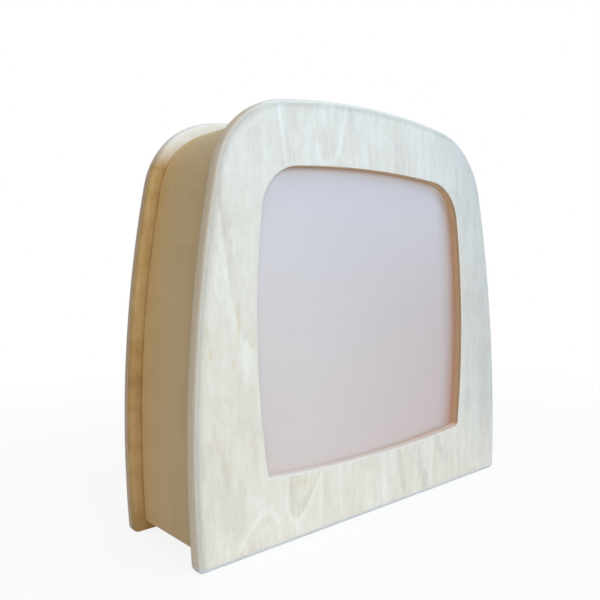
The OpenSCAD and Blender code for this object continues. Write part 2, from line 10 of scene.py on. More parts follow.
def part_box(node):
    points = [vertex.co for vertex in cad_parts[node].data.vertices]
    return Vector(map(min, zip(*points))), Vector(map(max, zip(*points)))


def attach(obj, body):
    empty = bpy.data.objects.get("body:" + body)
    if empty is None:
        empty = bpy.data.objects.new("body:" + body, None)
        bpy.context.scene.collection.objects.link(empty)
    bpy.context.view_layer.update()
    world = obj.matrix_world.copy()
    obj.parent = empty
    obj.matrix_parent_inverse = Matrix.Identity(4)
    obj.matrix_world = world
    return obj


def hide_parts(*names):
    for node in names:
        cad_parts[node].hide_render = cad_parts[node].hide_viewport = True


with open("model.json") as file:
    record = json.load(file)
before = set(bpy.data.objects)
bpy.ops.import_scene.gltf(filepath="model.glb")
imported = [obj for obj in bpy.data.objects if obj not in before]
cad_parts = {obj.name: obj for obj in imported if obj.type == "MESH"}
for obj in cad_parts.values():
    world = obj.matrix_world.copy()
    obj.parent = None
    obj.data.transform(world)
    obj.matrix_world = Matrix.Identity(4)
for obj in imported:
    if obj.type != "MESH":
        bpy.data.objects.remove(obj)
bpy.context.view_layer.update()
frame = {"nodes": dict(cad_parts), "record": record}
MM = 0.001

# Camera, as fitted to the photograph's 600 pixel square frame
IMAGE_SIDE = 600
FOCAL_PIXELS = 638.19
SENSOR = 36.0
CAMERA_PLACE = (-0.2794, -0.2976, 0.1449)
CAMERA_YAW = math.radians(-40.4766)
CAMERA_PITCH = math.radians(-2.5512)
CAMERA_ROLL = math.radians(-1.0157)

# Plywood sizes
EDGE_R = 3 * MM
ARRIS_R = 0.5 * MM
SUPPORT = 0.3 * MM
BAND_INSET = 6.6 * MM
BAND_T = 4 * MM
SEAM = 0.8 * MM
REBATE_W = 8 * MM
RECESS_R = 6 * MM
SCREW_HOLE_R = 2.1 * MM
SCREW_COUNT = 6
HEAD_R = 4 * MM
THREAD_R = 4 * MM
HOLE_GAP = 0.1 * MM
RECESS_HALF_W = 32 * MM
RECESS_HALF_H = 16 * MM
BEZEL_T = 2 * MM
BEZEL_LAP = 1 * MM
CUT_GAP = 0.2 * MM
# Window's borders in the front panel
WINDOW_SIDE = 38.7 * MM
WINDOW_TOP = 36.3 * MM

# Printed marks on the rocker: distance from its middle line, sizes, and how far they stand proud
MARK_OUT = 4.3 * MM
MARK_R = 1.4 * MM
MARK_LINE = 0.45 * MM
MARK_SINK = 0.03 * MM
MARK_LIFT = 0.02 * MM

# Places taken from the frame
FRONT_LOW, FRONT_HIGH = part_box("front_panel")
REAR_LOW, REAR_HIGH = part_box("rear_panel")
BAND_LOW, BAND_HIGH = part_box("side_band")
PANE_LOW, PANE_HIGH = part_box("diffuser_pane")

# Steps along the arcs of an outline
SIDE_STEPS = 56
SHOULDER_STEPS = 36
CROWN_STEPS = 36
SAG_STEPS = 40
FOOT_STEPS = 8
ROUND_STEPS = 8
ARRIS_STEPS = 4
CIRCLE_STEPS = 48

# Angle over which an edge is drawn sharp, and distance under which vertices are one
SHARP_ANGLE = math.radians(38)
MERGE_GAP = 0.001 * MM


# Outlines


def panel_shape(base_z=0.0, foot_r=4 * MM):
    """Arcs of the panels' outline."""
    return {
        "half_w": FRONT_HIGH.x, "side_r": 710 * MM, "widest_z": 44.5 * MM,
        "top_z": FRONT_HIGH.z, "crown_r": 453 * MM, "shoulder_r": 51 * MM,
        "base_z": base_z, "sag_r": 0.0, "foot_r": foot_r,
    }


def window_shape():
    """Arcs of the window's outline, inside its borders in the panel."""
    return {
        "half_w": FRONT_HIGH.x - WINDOW_SIDE, "side_r": 496 * MM, "widest_z": 111 * MM,
        "top_z": FRONT_HIGH.z - WINDOW_TOP, "crown_r": 618 * MM, "shoulder_r": 27 * MM,
        "base_z": 34.2 * MM, "sag_r": 864 * MM, "foot_r": 3 * MM,
    }


def arc(centre, radius, start, end, steps):
    """Points along an arc, without its last one."""
    turns = [start + (end - start) * i / steps for i in range(steps)]
    return [centre + radius * Vector((math.cos(a), math.sin(a))) for a in turns]


def cross_left(c1, r1, c2, r2):
    """Where two circles cross, on the left of the line from the first centre to the second."""
    gap = c2 - c1
    along = gap.normalized()
    x = (r1 * r1 - r2 * r2 + gap.length_squared) / (2 * gap.length)
    return c1 + x * along + math.sqrt(r1 * r1 - x * x) * Vector((-along.y, along.x))


def heading(v):
    """Angle of a direction from the first axis."""
    return math.atan2(v.y, v.x)


def loaf(shape, inset):
    """Closed outline of tangent arcs, moved inward: bulging sides, crowned top, flat or sagging base."""
    side_r, crown_r, shoulder_r, sag_r = (shape[k] for k in ("side_r", "crown_r", "shoulder_r", "sag_r"))
    side_c = Vector((shape["half_w"] - side_r, shape["widest_z"]))
    crown_c = Vector((0, shape["top_z"] - crown_r))
    sag_c = Vector((0, shape["base_z"] + sag_r))
    foot = max(shape["foot_r"] - inset, 0)
    shoulder_c = cross_left(side_c, side_r - shoulder_r, crown_c, crown_r - shoulder_r)
    if sag_r:
        foot_c = cross_left(sag_c, sag_r - inset - foot, side_c, side_r - inset - foot)
        base_a = heading(foot_c - sag_c)
    else:
        foot_z = shape["base_z"] + inset + foot
        reach = math.sqrt((side_r - inset - foot) ** 2 - (foot_z - shape["widest_z"]) ** 2)
        foot_c = Vector((side_c.x + reach, foot_z))
        base_a = -math.pi / 2
    low_a = heading(foot_c - side_c)
    high_a = heading(shoulder_c - side_c)
    top_a = heading(shoulder_c - crown_c)
    right = arc(sag_c, sag_r - inset, -math.pi / 2, base_a, SAG_STEPS) if sag_r else []
    right += arc(foot_c, foot, base_a, low_a, FOOT_STEPS) if foot else []
    right += arc(side_c, side_r - inset, low_a, high_a, SIDE_STEPS)
    right += arc(shoulder_c, shoulder_r - inset, high_a, top_a, SHOULDER_STEPS)
    right += arc(crown_c, crown_r - inset, top_a, math.pi / 2, CROWN_STEPS)
    first = 1 if sag_r else 0
    left = [Vector((-p.x, p.y)) for p in reversed(right[first:])]
    return right + [Vector((0, shape["top_z"] - inset))] + left


def circle(x, z, radius):
    """Circle of points round a hole."""
    return arc(Vector((x, z)), radius, 0, 2 * math.pi, CIRCLE_STEPS)


def round_rect(x, z, half_w, half_h, radius):
    """Rectangle with round corners."""
    points = []
    for turn, (sx, sz) in enumerate(((1, 1), (-1, 1), (-1, -1), (1, -1))):
        corner = Vector((x + sx * (half_w - radius), z + sz * (half_h - radius)))
        start = turn * math.pi / 2
        end = start + math.pi / 2
        points += arc(corner, radius, start, end, FOOT_STEPS)
        points.append(corner + radius * Vector((math.cos(end), math.sin(end))))
    return points


# Mesh helpers


def ring(bm, outline, y):
    """Closed loop of vertices at depth y."""
    return [bm.verts.new((p.x, y, p.y)) for p in outline]


def wall(bm, a, b):
    """Quads from one closed ring to the next."""
    for i in range(len(a)):
        j = (i + 1) % len(a)
        bm.faces.new((a[i], a[j], b[j], b[i]))


def walls(bm, rings):
    """Quads along a row of closed rings."""
    for a, b in zip(rings, rings[1:]):
        wall(bm, a, b)


def fill(bm, rings):
    """Flat face bounded by the first ring, with the other rings as holes."""
    edges = []
    for loop in rings:
        for i in range(len(loop)):
            pair = (loop[i], loop[(i + 1) % len(loop)])
            edges.append(bm.edges.get(pair) or bm.edges.new(pair))
    bmesh.ops.triangle_fill(bm, use_beauty=True, use_dissolve=False, edges=edges)


def add_piece(name, bm, body, material):
    """Turns a bmesh into a smooth-shaded piece that rides on a body."""
    bmesh.ops.recalc_face_normals(bm, faces=bm.faces)
    mesh = bpy.data.meshes.new(name)
    bm.to_mesh(mesh)
    bm.free()
    mesh.polygons.foreach_set("use_smooth", [True] * len(mesh.polygons))
    mesh.set_sharp_from_angle(angle=SHARP_ANGLE)
    piece = bpy.data.objects.new(name, mesh)
    bpy.context.scene.collection.objects.link(piece)
    mesh.materials.append(material)
    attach(piece, body)
    return piece


def quarter(steps=ROUND_STEPS):
    """(sink, inset) shares round a quarter circle, from a face to the edge beside it."""
    turns = [math.pi / 2 * i / steps for i in range(steps + 1)]
    return [(1 - math.cos(a), 1 - math.sin(a)) for a in turns]


def rounded_edge(bm, shape, low_y, high_y):
    """Both round-overs and the flat edge of a panel. Gives the two inner rings that its faces start from."""
    steps = [(low_y + EDGE_R * sink, EDGE_R * inset) for sink, inset in quarter()]
    back = [(high_y - EDGE_R * sink, EDGE_R * inset) for sink, inset in reversed(quarter())]
    rings = [ring(bm, loaf(shape, inset), y) for y, inset in steps + back]
    low = ring(bm, loaf(shape, EDGE_R + SUPPORT), low_y)
    high = ring(bm, loaf(shape, EDGE_R + SUPPORT), high_y)
    walls(bm, [low] + rings + [high])
    return low, high


def eased_mouth(bm, outline_at, face_y, inward):
    """Eased arris of an opening, from the face inwards. Gives the face's ring and the wall's ring."""
    steps = [(ARRIS_R * sink, -ARRIS_R * inset) for sink, inset in quarter(ARRIS_STEPS)]
    rings = [ring(bm, outline_at(inset), face_y + inward * sink) for sink, inset in steps]
    start = ring(bm, outline_at(-ARRIS_R - SUPPORT), face_y)
    walls(bm, [start] + rings)
    return start, rings[-1]


# Shader helpers


class Graph:
    """Short calls for building one material's nodes."""

    def __init__(self, name):
        self.material = bpy.data.materials.new(name)
        self.material.use_nodes = True
        self.nodes = self.material.node_tree.nodes
        self.links = self.material.node_tree.links
        self.shader = self.nodes["Principled BSDF"]
        coords = self.nodes.new("ShaderNodeTexCoord")
        self.place = coords.outputs["Object"]

    def put(self, socket, value):
        """Links a socket to another one, or sets its value."""
        if isinstance(value, bpy.types.NodeSocket):
            self.links.new(value, socket)
        else:
            socket.default_value = value

    def set(self, **values):
        """Sets or links the shader's sockets, named with underscores for spaces."""
        for name, value in values.items():
            self.put(self.shader.inputs[name.replace("_", " ")], value)

    def math(self, kind, a, b=0.0, clamp=False):
        """One step of arithmetic."""
        node = self.nodes.new("ShaderNodeMath")
        node.operation = kind
        node.use_clamp = clamp
        self.put(node.inputs[0], a)
        self.put(node.inputs[1], b)
        return node.outputs[0]

    def stretch(self, scale, move=(0, 0, 0)):
        """Object coordinates, scaled along each axis."""
        node = self.nodes.new("ShaderNodeMapping")
        self.put(node.inputs["Vector"], self.place)
        node.inputs["Scale"].default_value = scale
        node.inputs["Location"].default_value = move
        return node.outputs["Vector"]

    def noise(self, scale, detail=2.0, rough=0.5, distort=0.0, move=(0, 0, 0)):
        """Noise around 0.5, over object coordinates scaled along each axis."""
        node = self.nodes.new("ShaderNodeTexNoise")
        self.put(node.inputs["Vector"], self.stretch(scale, move))
        node.inputs["Scale"].default_value = 1.0
        node.inputs["Detail"].default_value = detail
        node.inputs["Roughness"].default_value = rough
        node.inputs["Distortion"].default_value = distort
        return node.outputs["Fac"]

    def axis(self, letter):
        """One object coordinate."""
        node = self.nodes.new("ShaderNodeSeparateXYZ")
        self.put(node.inputs[0], self.place)
        return node.outputs[letter]

    def normal(self, letter):
        """Part of the surface's own direction along an axis."""
        node = self.nodes.new("ShaderNodeNewGeometry")
        split = self.nodes.new("ShaderNodeSeparateXYZ")
        self.links.new(node.outputs["Normal"], split.inputs[0])
        return split.outputs[letter]

    def span(self, value, low, high, to_low=0.0, to_high=1.0):
        """Maps a range onto another one."""
        node = self.nodes.new("ShaderNodeMapRange")
        self.put(node.inputs["Value"], value)
        ends = (low, high, to_low, to_high)
        for name, number in zip(("From Min", "From Max", "To Min", "To Max"), ends):
            node.inputs[name].default_value = number
        return node.outputs["Result"]

    def ramp(self, value, stops):
        """Colours along a value: stops are (place, (r, g, b))."""
        node = self.nodes.new("ShaderNodeValToRGB")
        self.put(node.inputs["Fac"], value)
        bar = node.color_ramp
        bar.interpolation = "LINEAR"
        while len(bar.elements) < len(stops):
            bar.elements.new(1.0)
        for element, (place, colour) in zip(bar.elements, stops):
            element.position = place
            element.color = (*colour, 1.0)
        return node.outputs["Color"]

    def mix(self, share, a, b, kind="MIX"):
        """Colour a with a share of colour b, or tinted by it."""
        node = self.nodes.new("ShaderNodeMix")
        node.data_type = "RGBA"
        node.blend_type = kind
        self.put(node.inputs["Factor"], share)
        for name, value in (("A", a), ("B", b)):
            socket = next(s for s in node.inputs if s.name == name and s.type == "RGBA")
            self.put(socket, value if isinstance(value, bpy.types.NodeSocket) else (*value, 1.0))
        return next(s for s in node.outputs if s.type == "RGBA")

    def bump(self, height, strength, distance):
        """Fine relief on the shader."""
        node = self.nodes.new("ShaderNodeBump")
        node.inputs["Strength"].default_value = strength
        node.inputs["Distance"].default_value = distance
        self.put(node.inputs["Height"], height)
        self.put(self.shader.inputs["Normal"], node.outputs["Normal"])


# Materials

FRONT_MIDDLE = (FRONT_LOW.y + FRONT_HIGH.y) / 2
REAR_MIDDLE = (REAR_LOW.y + REAR_HIGH.y) / 2
HALF_PANEL = (FRONT_HIGH.y - FRONT_LOW.y) / 2
PLY_BLUR = 0.09 * MM
# Where each panel's grain starts in the noise
FRONT_SEED = 3.1
REAR_SEED = 7.4
# Plies from the panel's middle outwards: where each ends, and its tone on the edge
EDGE_PLIES = (
    (0.9 * MM, (0.85, 0.725, 0.555)), (1.2 * MM, (0.77, 0.655, 0.49)), (2.4 * MM, (0.81, 0.70, 0.54)),
    (3.2 * MM, (0.68, 0.60, 0.48)), (4.1 * MM, (0.705, 0.68, 0.615)), (4.46 * MM, (0.63, 0.605, 0.55)),
)
# Top edge: the outer plies paler, a painted highlight where light falls on the top
TOP_PLIES_LIT = EDGE_PLIES[:3] + ((4.25 * MM, (0.85, 0.87, 0.825)), (4.46 * MM, (0.73, 0.745, 0.71)))
REAR_PLIES = ((0.5 * MM, (0.66, 0.50, 0.34)), (0.8 * MM, (0.58, 0.43, 0.28)), (1.6 * MM, (0.70, 0.54, 0.38)))
# Window's wall: plies darkened to brown as painted shade inside the window, and a pale outer ply as a
# painted highlight on the arris
WINDOW_PLIES_SHADED = (
    (2.0 * MM, (0.62, 0.41, 0.25)), (3.9 * MM, (0.49, 0.35, 0.22)), (4.46 * MM, (0.90, 0.88, 0.82)),
)
# Window sill from left to right, pale as painted light, and how far the edge faces up where this tone starts
# and is full
SILL_LIT_TONES = ((0.2, (0.95, 0.93, 0.87)), (0.9, (0.88, 0.84, 0.77)))
SILL_TURN = (0.3, 0.8)
# Shares of the panel's width over which the sill turns from brown, a painted shade, to pale, right to left
SILL_SHADE_FADE = (1.3, 0.5)
# Distances from the panel's middle over which the sill goes from painted shade by the pane to pale, and the
# share it starts with
SILL_SHADE = (1.5 * MM, 3.0 * MM)
SILL_DARK = 0.65
# Edge that a panel stands on, greyed as painted shade, and how far the edge faces down where this tone
# starts and is full
FOOT_SHADE_TONE = (0.69, 0.70, 0.715)
FOOT_TURN = (-0.08, -0.3)
# Shade on a face above its foot, and the heights between which it fades out
FOOT_SHADE = ((0.0, 0.955), (1.0, 1.0))
FOOT_REACH = (0.8 * EDGE_R, 2 * EDGE_R)
# Turn of the edge, from straight left, over which its plies go pale towards the top, a painted highlight
TOP_TURN = (0.9, 1.3)
# Slow change of the pale veneer's tone, from left to right and from the bottom up: painted light, warm low
# on the left, cooler to the right and upwards
ACROSS_LIGHT_TINTS = ((0.0, (1.0, 0.99, 0.97)), (0.75, (1.0, 1.0, 1.0)), (1.0, (0.80, 0.835, 0.88)))
UP_LIGHT_TINTS = ((0.0, (1.03, 0.985, 0.94)), (0.4, (1.0, 0.99, 0.98)), (1.0, (0.965, 1.01, 1.075)))
# How far the change from left to right moves, around 0.5, from the bottom up
RIGHT_SHIFT = ((0.0, 0.35), (0.08, 0.37), (0.13, 0.42), (0.22, 0.5), (0.7, 0.5), (0.95, 0.57))
# Shade on a face beside its round-over, and the distances from the edge that it lies between
EDGE_SHADE = ((0.0, 0.85), (0.2, 0.88), (0.5, 0.94), (0.9, 1.0))
EDGE_REACH = (EDGE_R, 2 * EDGE_R)
# Share of a shoulder's radius that rounds this shade
CORNER_SHARE = 0.6
# Veneers, each from dark to pale; the second is painted light, the pale top of the rear panel's inner face
PALE_TONES = (
    (0.0, (0.64, 0.60, 0.515)), (0.3, (0.73, 0.70, 0.62)), (0.5, (0.775, 0.75, 0.67)),
    (0.75, (0.82, 0.81, 0.745)), (1.0, (0.88, 0.88, 0.83)),
)
LIT_TOP_TONES = ((0.0, (0.82, 0.78, 0.68)), (1.0, (0.95, 0.93, 0.85)))
TAN_TONES = ((0.0, (0.40, 0.23, 0.075)), (0.5, (0.54, 0.35, 0.135)), (1.0, (0.64, 0.45, 0.21)))
BAND_TONES = ((0.0, (0.58, 0.41, 0.19)), (0.5, (0.70, 0.535, 0.295)), (1.0, (0.77, 0.61, 0.365)))
# Tints of the band towards its rear seam, its painted shade towards its foot, and the painted shade in the
# seam
SEAM_TINT = (1.08, 0.99, 0.80)
BAND_FOOT_SHADE = (0.96, 0.91, 0.90)
SEAM_SHADE = (0.46, 0.31, 0.14)
# Heights between which the rear panel's inner veneer turns from tan to pale, a painted light at the top, and
# its plies' share in that
LIT_TOP_Z = (205 * MM, 222 * MM)
LIT_TOP_SHARE = 0.7
# Tan veneer from the bottom up, darker low down as painted shade, and the share of the curl across it
TAN_SHADE_TINTS = ((0.0, (0.84, 0.82, 0.84)), (0.12, (0.92, 0.90, 0.93)), (0.9, (1.0, 1.0, 1.0)))
CURL_SHARE = 0.9
# Mounds whose rims are the bold rings of a veneer: x, z, half width, half height, lean, power, inner level
FRONT_MOUNDS = (
    (-45.3 * MM, 73 * MM, 14.7 * MM, 60 * MM, 0.295, 2, 0.0),
    (-95 * MM, -14 * MM, 13.6 * MM, 33 * MM, 0.36, 2, 0.35),
    (-82.3 * MM, 30 * MM, 1.6 * MM, 15 * MM, 0.07, 2, 0.1),
    (-31 * MM, 262 * MM, 13 * MM, 56 * MM, 0.1, 2, 0.5),
    (-89.4 * MM, 200 * MM, 22.5 * MM, 93 * MM, -0.15, 8, 0.2),
)
REAR_MOUNDS = (
    (18 * MM, 30 * MM, 24 * MM, 92 * MM, -0.06, 2, 0.25),
    (22 * MM, 20 * MM, 38 * MM, 160 * MM, -0.05, 2, 0.35),
    (-62 * MM, 215 * MM, 15 * MM, 70 * MM, 0.08, 2, 0.35),
)
# Tan flecks and patches of the front veneer: x, z, half width, half height, lean, strength
FRONT_FLECKS = (
    (-98.6 * MM, 117 * MM, 1.2 * MM, 14 * MM, 0.02, 0.45),
    (-91.5 * MM, 107.5 * MM, 6 * MM, 1.3 * MM, 0.0, 0.3),
    (-116.6 * MM, 117 * MM, 1.3 * MM, 5 * MM, -0.1, 0.6),
    (-115.4 * MM, 107 * MM, 1.2 * MM, 6 * MM, -0.15, 0.6),
    (-101.6 * MM, 100 * MM, 1.5 * MM, 3 * MM, 0.2, 0.6),
    (-113.3 * MM, 64 * MM, 2 * MM, 9 * MM, -0.05, 0.35),
    (-108.4 * MM, 48.6 * MM, 2 * MM, 7 * MM, 0.0, 0.3),
    (-91.4 * MM, 52.6 * MM, 5 * MM, 12 * MM, 0.1, 0.25),
    (-57.5 * MM, 31.5 * MM, 9 * MM, 4 * MM, 0.0, 0.45),
)
FLECK_TINT = (0.90, 0.80, 0.63)
# Broad grey streaks below the window, in the same order
FRONT_STREAKS = (
    (22.3 * MM, 20 * MM, 3.6 * MM, 20 * MM, -0.2, 0.9),
    (40.5 * MM, 21 * MM, 4.5 * MM, 20 * MM, -0.37, 0.75),
    (61 * MM, 28 * MM, 4 * MM, 14 * MM, -0.4, 0.6),
)
STREAK_TINT = (0.86, 0.86, 0.85)
# Growth ring, dark on one side of its line and pale on the other, and how many the noise makes
GROWTH = ((0.0, 0.1), (0.06, 0.25), (0.25, 0.45), (0.6, 0.5), (0.95, 0.9))
RING_COUNT = 4.0
# A veneer's middle tone, the shares of rings and rims in it, and how far the rims waver
VENEER_TONE = 0.53
RING_SHARE = 0.1
RIM_SHARE = 0.5
RIM_WOBBLE = 0.12
# Sanding grit on the plies: its tones, their share, and its height beside the fibres
GRIT_TONES = ((0.3, (0.78, 0.76, 0.72)), (0.7, (1, 1, 1)))
GRIT_SHARE = 0.6
GRIT_HEIGHT = 0.4
# Roughness of dark and pale wood, its sheen, and the strength and depth of its bumps
PANEL_ROUGH = (0.66, 0.5)
BAND_ROUGH = (0.62, 0.5)
WOOD_SHEEN = 0.3
PANEL_BUMP = (0.16, 0.15 * MM)
BAND_BUMP = (0.12, 0.12 * MM)
# Painted shade, and painted brown reflection, that the window's walls lend to the pane, by the distance from
# them
WALL_REACH = 16 * MM
WALL_SHADE_TINTS = (
    (0.0, (0.82, 0.54, 0.36)), (0.27, (0.86, 0.71, 0.63)), (0.65, (0.92, 0.90, 0.88)), (1.0, (1, 1, 1)),
)
# How many times less far the top and the sill shade, and the sill's first distance on the left and right
TOP_SCALE = 6.0
SILL_SCALE = 4.0
SILL_START = (9 * MM, 2 * MM)
# Pane from the bottom up, rosy below and lavender above as painted light, its painted shade low on the
# right, and the heights where that starts and is full
PANE_LIGHT_TINTS = ((0.1, (0.69, 0.595, 0.56)), (0.5, (0.663, 0.624, 0.619)), (0.9, (0.645, 0.635, 0.69)))
LOW_RIGHT_SHADE = (0.87, 0.80, 0.81)
LOW_RIGHT_RISE = (0.95, 0.5)
# Clouds in the pane, their share, and the roughness and bumps of its frost
PANE_CLOUDS = ((0.3, (0.55, 0.55, 0.58)), (0.7, (0.75, 0.74, 0.74)))
CLOUD_SHARE = 0.06
FROST_ROUGH = (0.3, 0.44)
FROST_SHEEN = 0.5
FROST_BUMP = (0.05, 0.02 * MM)
# Moulded pieces: darker and lighter shares of a colour, spread of roughness, and strength of the bumps
MOULD_DARK = 0.8
MOULD_LIGHT = 1.08
MOULD_SPREAD = (-0.08, 0.1)
MOULD_BUMP = 0.15
# Metal: tarnished share of a colour, spread of roughness, and its bumps
TARNISH = 0.72
METAL_SPREAD = (-0.08, 0.12)
METAL_BUMP = (0.08, 0.02 * MM)
# Resin of the lights
RESIN_TONES = ((0.3, (0.85, 0.7, 0.25)), (0.7, (0.93, 0.85, 0.5)))
RESIN_ROUGH = (0.2, 0.35)


def rim(inner):
    """Levels across a mound's rim: pale outside, and its inner level just inside."""
    return ((0.26, 0.5), (0.38, 0.8), (0.47, 1.0), (0.51, inner), (0.57, inner), (0.68, 0.5))


def grey(stops):
    """Stops of a ramp from plain levels."""
    return [(place, (level, level, level)) for place, level in stops]


def mound(g, x, z, half_w, half_h, lean, power):
    """Tall leaning mound on a veneer's XZ plane: 1 in its middle, 0.5 on its rim, less outside."""
    up = g.math("DIVIDE", g.math("SUBTRACT", g.axis("Z"), z), half_h)
    shift = g.math("MULTIPLY", up, lean * half_h)
    side = g.math("DIVIDE", g.math("SUBTRACT", g.math("SUBTRACT", g.axis("X"), x), shift), half_w)
    out = [g.math("POWER", g.math("ABSOLUTE", part), power) for part in (up, side)]
    square = g.math("POWER", g.math("ADD", *out), 2 / power)
    return g.math("SUBTRACT", 1.0, g.math("MULTIPLY", square, 0.5), clamp=True)


def growth_rings(g, height):
    """Growth rings of a peeled veneer: contour lines of a hilly field."""
    return g.ramp(g.math("FRACT", g.math("MULTIPLY", height, RING_COUNT)), grey(GROWTH))


def blend(g, middle, *parts):
    """Tone around a middle value, moved by (field, share) pairs."""
    tone = middle
    for field, share in parts:
        tone = g.math("ADD", tone, g.math("MULTIPLY", g.math("SUBTRACT", field, 0.5), share))
    return g.math("MAXIMUM", g.math("MINIMUM", tone, 1.0), 0.0)


def veneer_tone(g, seed, mounds):
    """Peeled birch veneer on an XZ face: rings, pale streaks, fibres, flecks and cloudy patches."""
    height = g.noise((30, 0, 7), detail=1.5, rough=0.45, distort=0.3, move=(seed, seed, 0))
    wobble = g.math("MULTIPLY", g.math("SUBTRACT", g.noise((90, 0, 40), detail=2), 0.5), RIM_WOBBLE)
    parts = [(growth_rings(g, height), RING_SHARE)]
    for *place, inner in mounds:
        parts.append((g.ramp(g.math("ADD", mound(g, *place), wobble), grey(rim(inner))), RIM_SHARE))
    streak = g.span(g.noise((170, 0, 24), detail=2, distort=0.4, move=(0, seed, 0)), 0.46, 0.7, 0.3, 1.1)
    fibre = g.noise((1100, 0, 150), detail=3, rough=0.6, move=(0, seed, 0))
    fleck = g.noise((260, 0, 115), detail=3, rough=0.65, distort=0.9, move=(seed, 0, 0))
    cloud = g.noise((60, 0, 26), detail=2, distort=0.6, move=(0, seed, seed))
    tone = blend(g, VENEER_TONE, *parts, (streak, 0.3), (fibre, 0.12), (fleck, 0.85), (cloud, 0.8))
    return tone, fibre


def ply_layers(g, depth, plies):
    """Plies on an edge, by their distance from the panel's middle."""
    stops = [(0.0, plies[0][1])]
    for (end, tone), (_, following) in zip(plies, plies[1:]):
        stops.append(((end - PLY_BLUR) / HALF_PANEL, tone))
        stops.append(((end + PLY_BLUR) / HALF_PANEL, following))
    return g.ramp(g.math("DIVIDE", depth, HALF_PANEL), stops)


def flecked(g, face, flecks, tint):
    """Face with ragged flecks of a tint that fade out towards their ends."""
    ragged = g.math("SUBTRACT", g.noise((420, 0, 160), detail=2), 0.5)
    for *place, strength in flecks:
        share = g.span(g.math("ADD", mound(g, *place, 2), ragged), 0.45, 1.05, 0.0, strength)
        face = g.mix(share, face, tint, "MULTIPLY")
    return face


def wall_gap(g, radius, centre_x, centre_z, scale=1.0, start=0.0):
    """Scaled distance inside an outline's arc."""
    dx = g.math("SUBTRACT", g.axis("X"), centre_x)
    dz = g.math("SUBTRACT", g.axis("Z"), centre_z)
    far = g.math("SQRT", g.math("ADD", g.math("MULTIPLY", dx, dx), g.math("MULTIPLY", dz, dz)))
    return g.math("ADD", g.math("MULTIPLY", g.math("SUBTRACT", radius, far), scale), start)


def edge_gap(g, shape):
    """Distance from a panel's left and top edge, which meet in a round corner."""
    side = wall_gap(g, shape["side_r"], shape["side_r"] - shape["half_w"], shape["widest_z"])
    top = wall_gap(g, shape["crown_r"], 0.0, shape["top_z"] - shape["crown_r"])
    corner_r = CORNER_SHARE * shape["shoulder_r"]
    legs = [g.math("MAXIMUM", g.math("SUBTRACT", corner_r, gap), 0.0) for gap in (side, top)]
    squares = [g.math("MULTIPLY", leg, leg) for leg in legs]
    return g.math("SUBTRACT", corner_r, g.math("SQRT", g.math("ADD", *squares)))


def shaded_sill(g, core, across, depth):
    """Window's edge with a pale sill, painted light where it faces up, which is browner on the right and
    towards the pane as painted shade.
    """
    pale = g.math("MULTIPLY", g.span(across, *SILL_SHADE_FADE), g.span(depth, *SILL_SHADE, SILL_DARK, 1.0))
    share = g.math("MULTIPLY", g.span(g.normal("Z"), *SILL_TURN), pale)
    return g.mix(share, core, g.ramp(across, SILL_LIT_TONES))


def lit_top_edge(g, core, depth):
    """Panel's edge with plies that go pale towards the top, a painted highlight."""
    leftward = g.math("MULTIPLY", g.normal("X"), -1.0)
    turn = g.math("ABSOLUTE", g.math("ARCTAN2", g.normal("Z"), leftward))
    return g.mix(g.span(turn, *TOP_TURN), core, ply_layers(g, depth, TOP_PLIES_LIT))


def pale_face(g, tone, across, up, flecks, streaks):
    """Pale veneer with its slow change of tone, which is painted light, its flecks and the painted shade
    beside its edges and above its foot.
    """
    right = blend(g, across, (g.ramp(up, grey(RIGHT_SHIFT)), 1.0))
    face = g.mix(1.0, g.ramp(tone, PALE_TONES), g.ramp(right, ACROSS_LIGHT_TINTS), "MULTIPLY")
    face = g.mix(1.0, face, g.ramp(up, UP_LIGHT_TINTS), "MULTIPLY")
    face = flecked(g, flecked(g, face, flecks, FLECK_TINT), streaks, STREAK_TINT)
    # Painted shade on the face beside its left and top edges
    rim_shade = g.span(edge_gap(g, panel_shape()), *EDGE_REACH)
    face = g.mix(1.0, face, g.ramp(rim_shade, grey(EDGE_SHADE)), "MULTIPLY")
    low = g.span(g.axis("Z"), *FOOT_REACH)
    return g.mix(1.0, face, g.ramp(low, grey(FOOT_SHADE)), "MULTIPLY")


def tan_face(g, tone, up, top_light):
    """Tan veneer with a curl across it, darker low down as painted shade, which turns pale at the top as
    painted light.
    """
    curl = g.noise((9, 0, 80), detail=2, distort=0.6)
    tan = g.ramp(blend(g, tone, (curl, CURL_SHARE)), TAN_TONES)
    tan = g.mix(1.0, tan, g.ramp(up, TAN_SHADE_TINTS), "MULTIPLY")
    return g.mix(top_light, tan, g.ramp(tone, LIT_TOP_TONES))


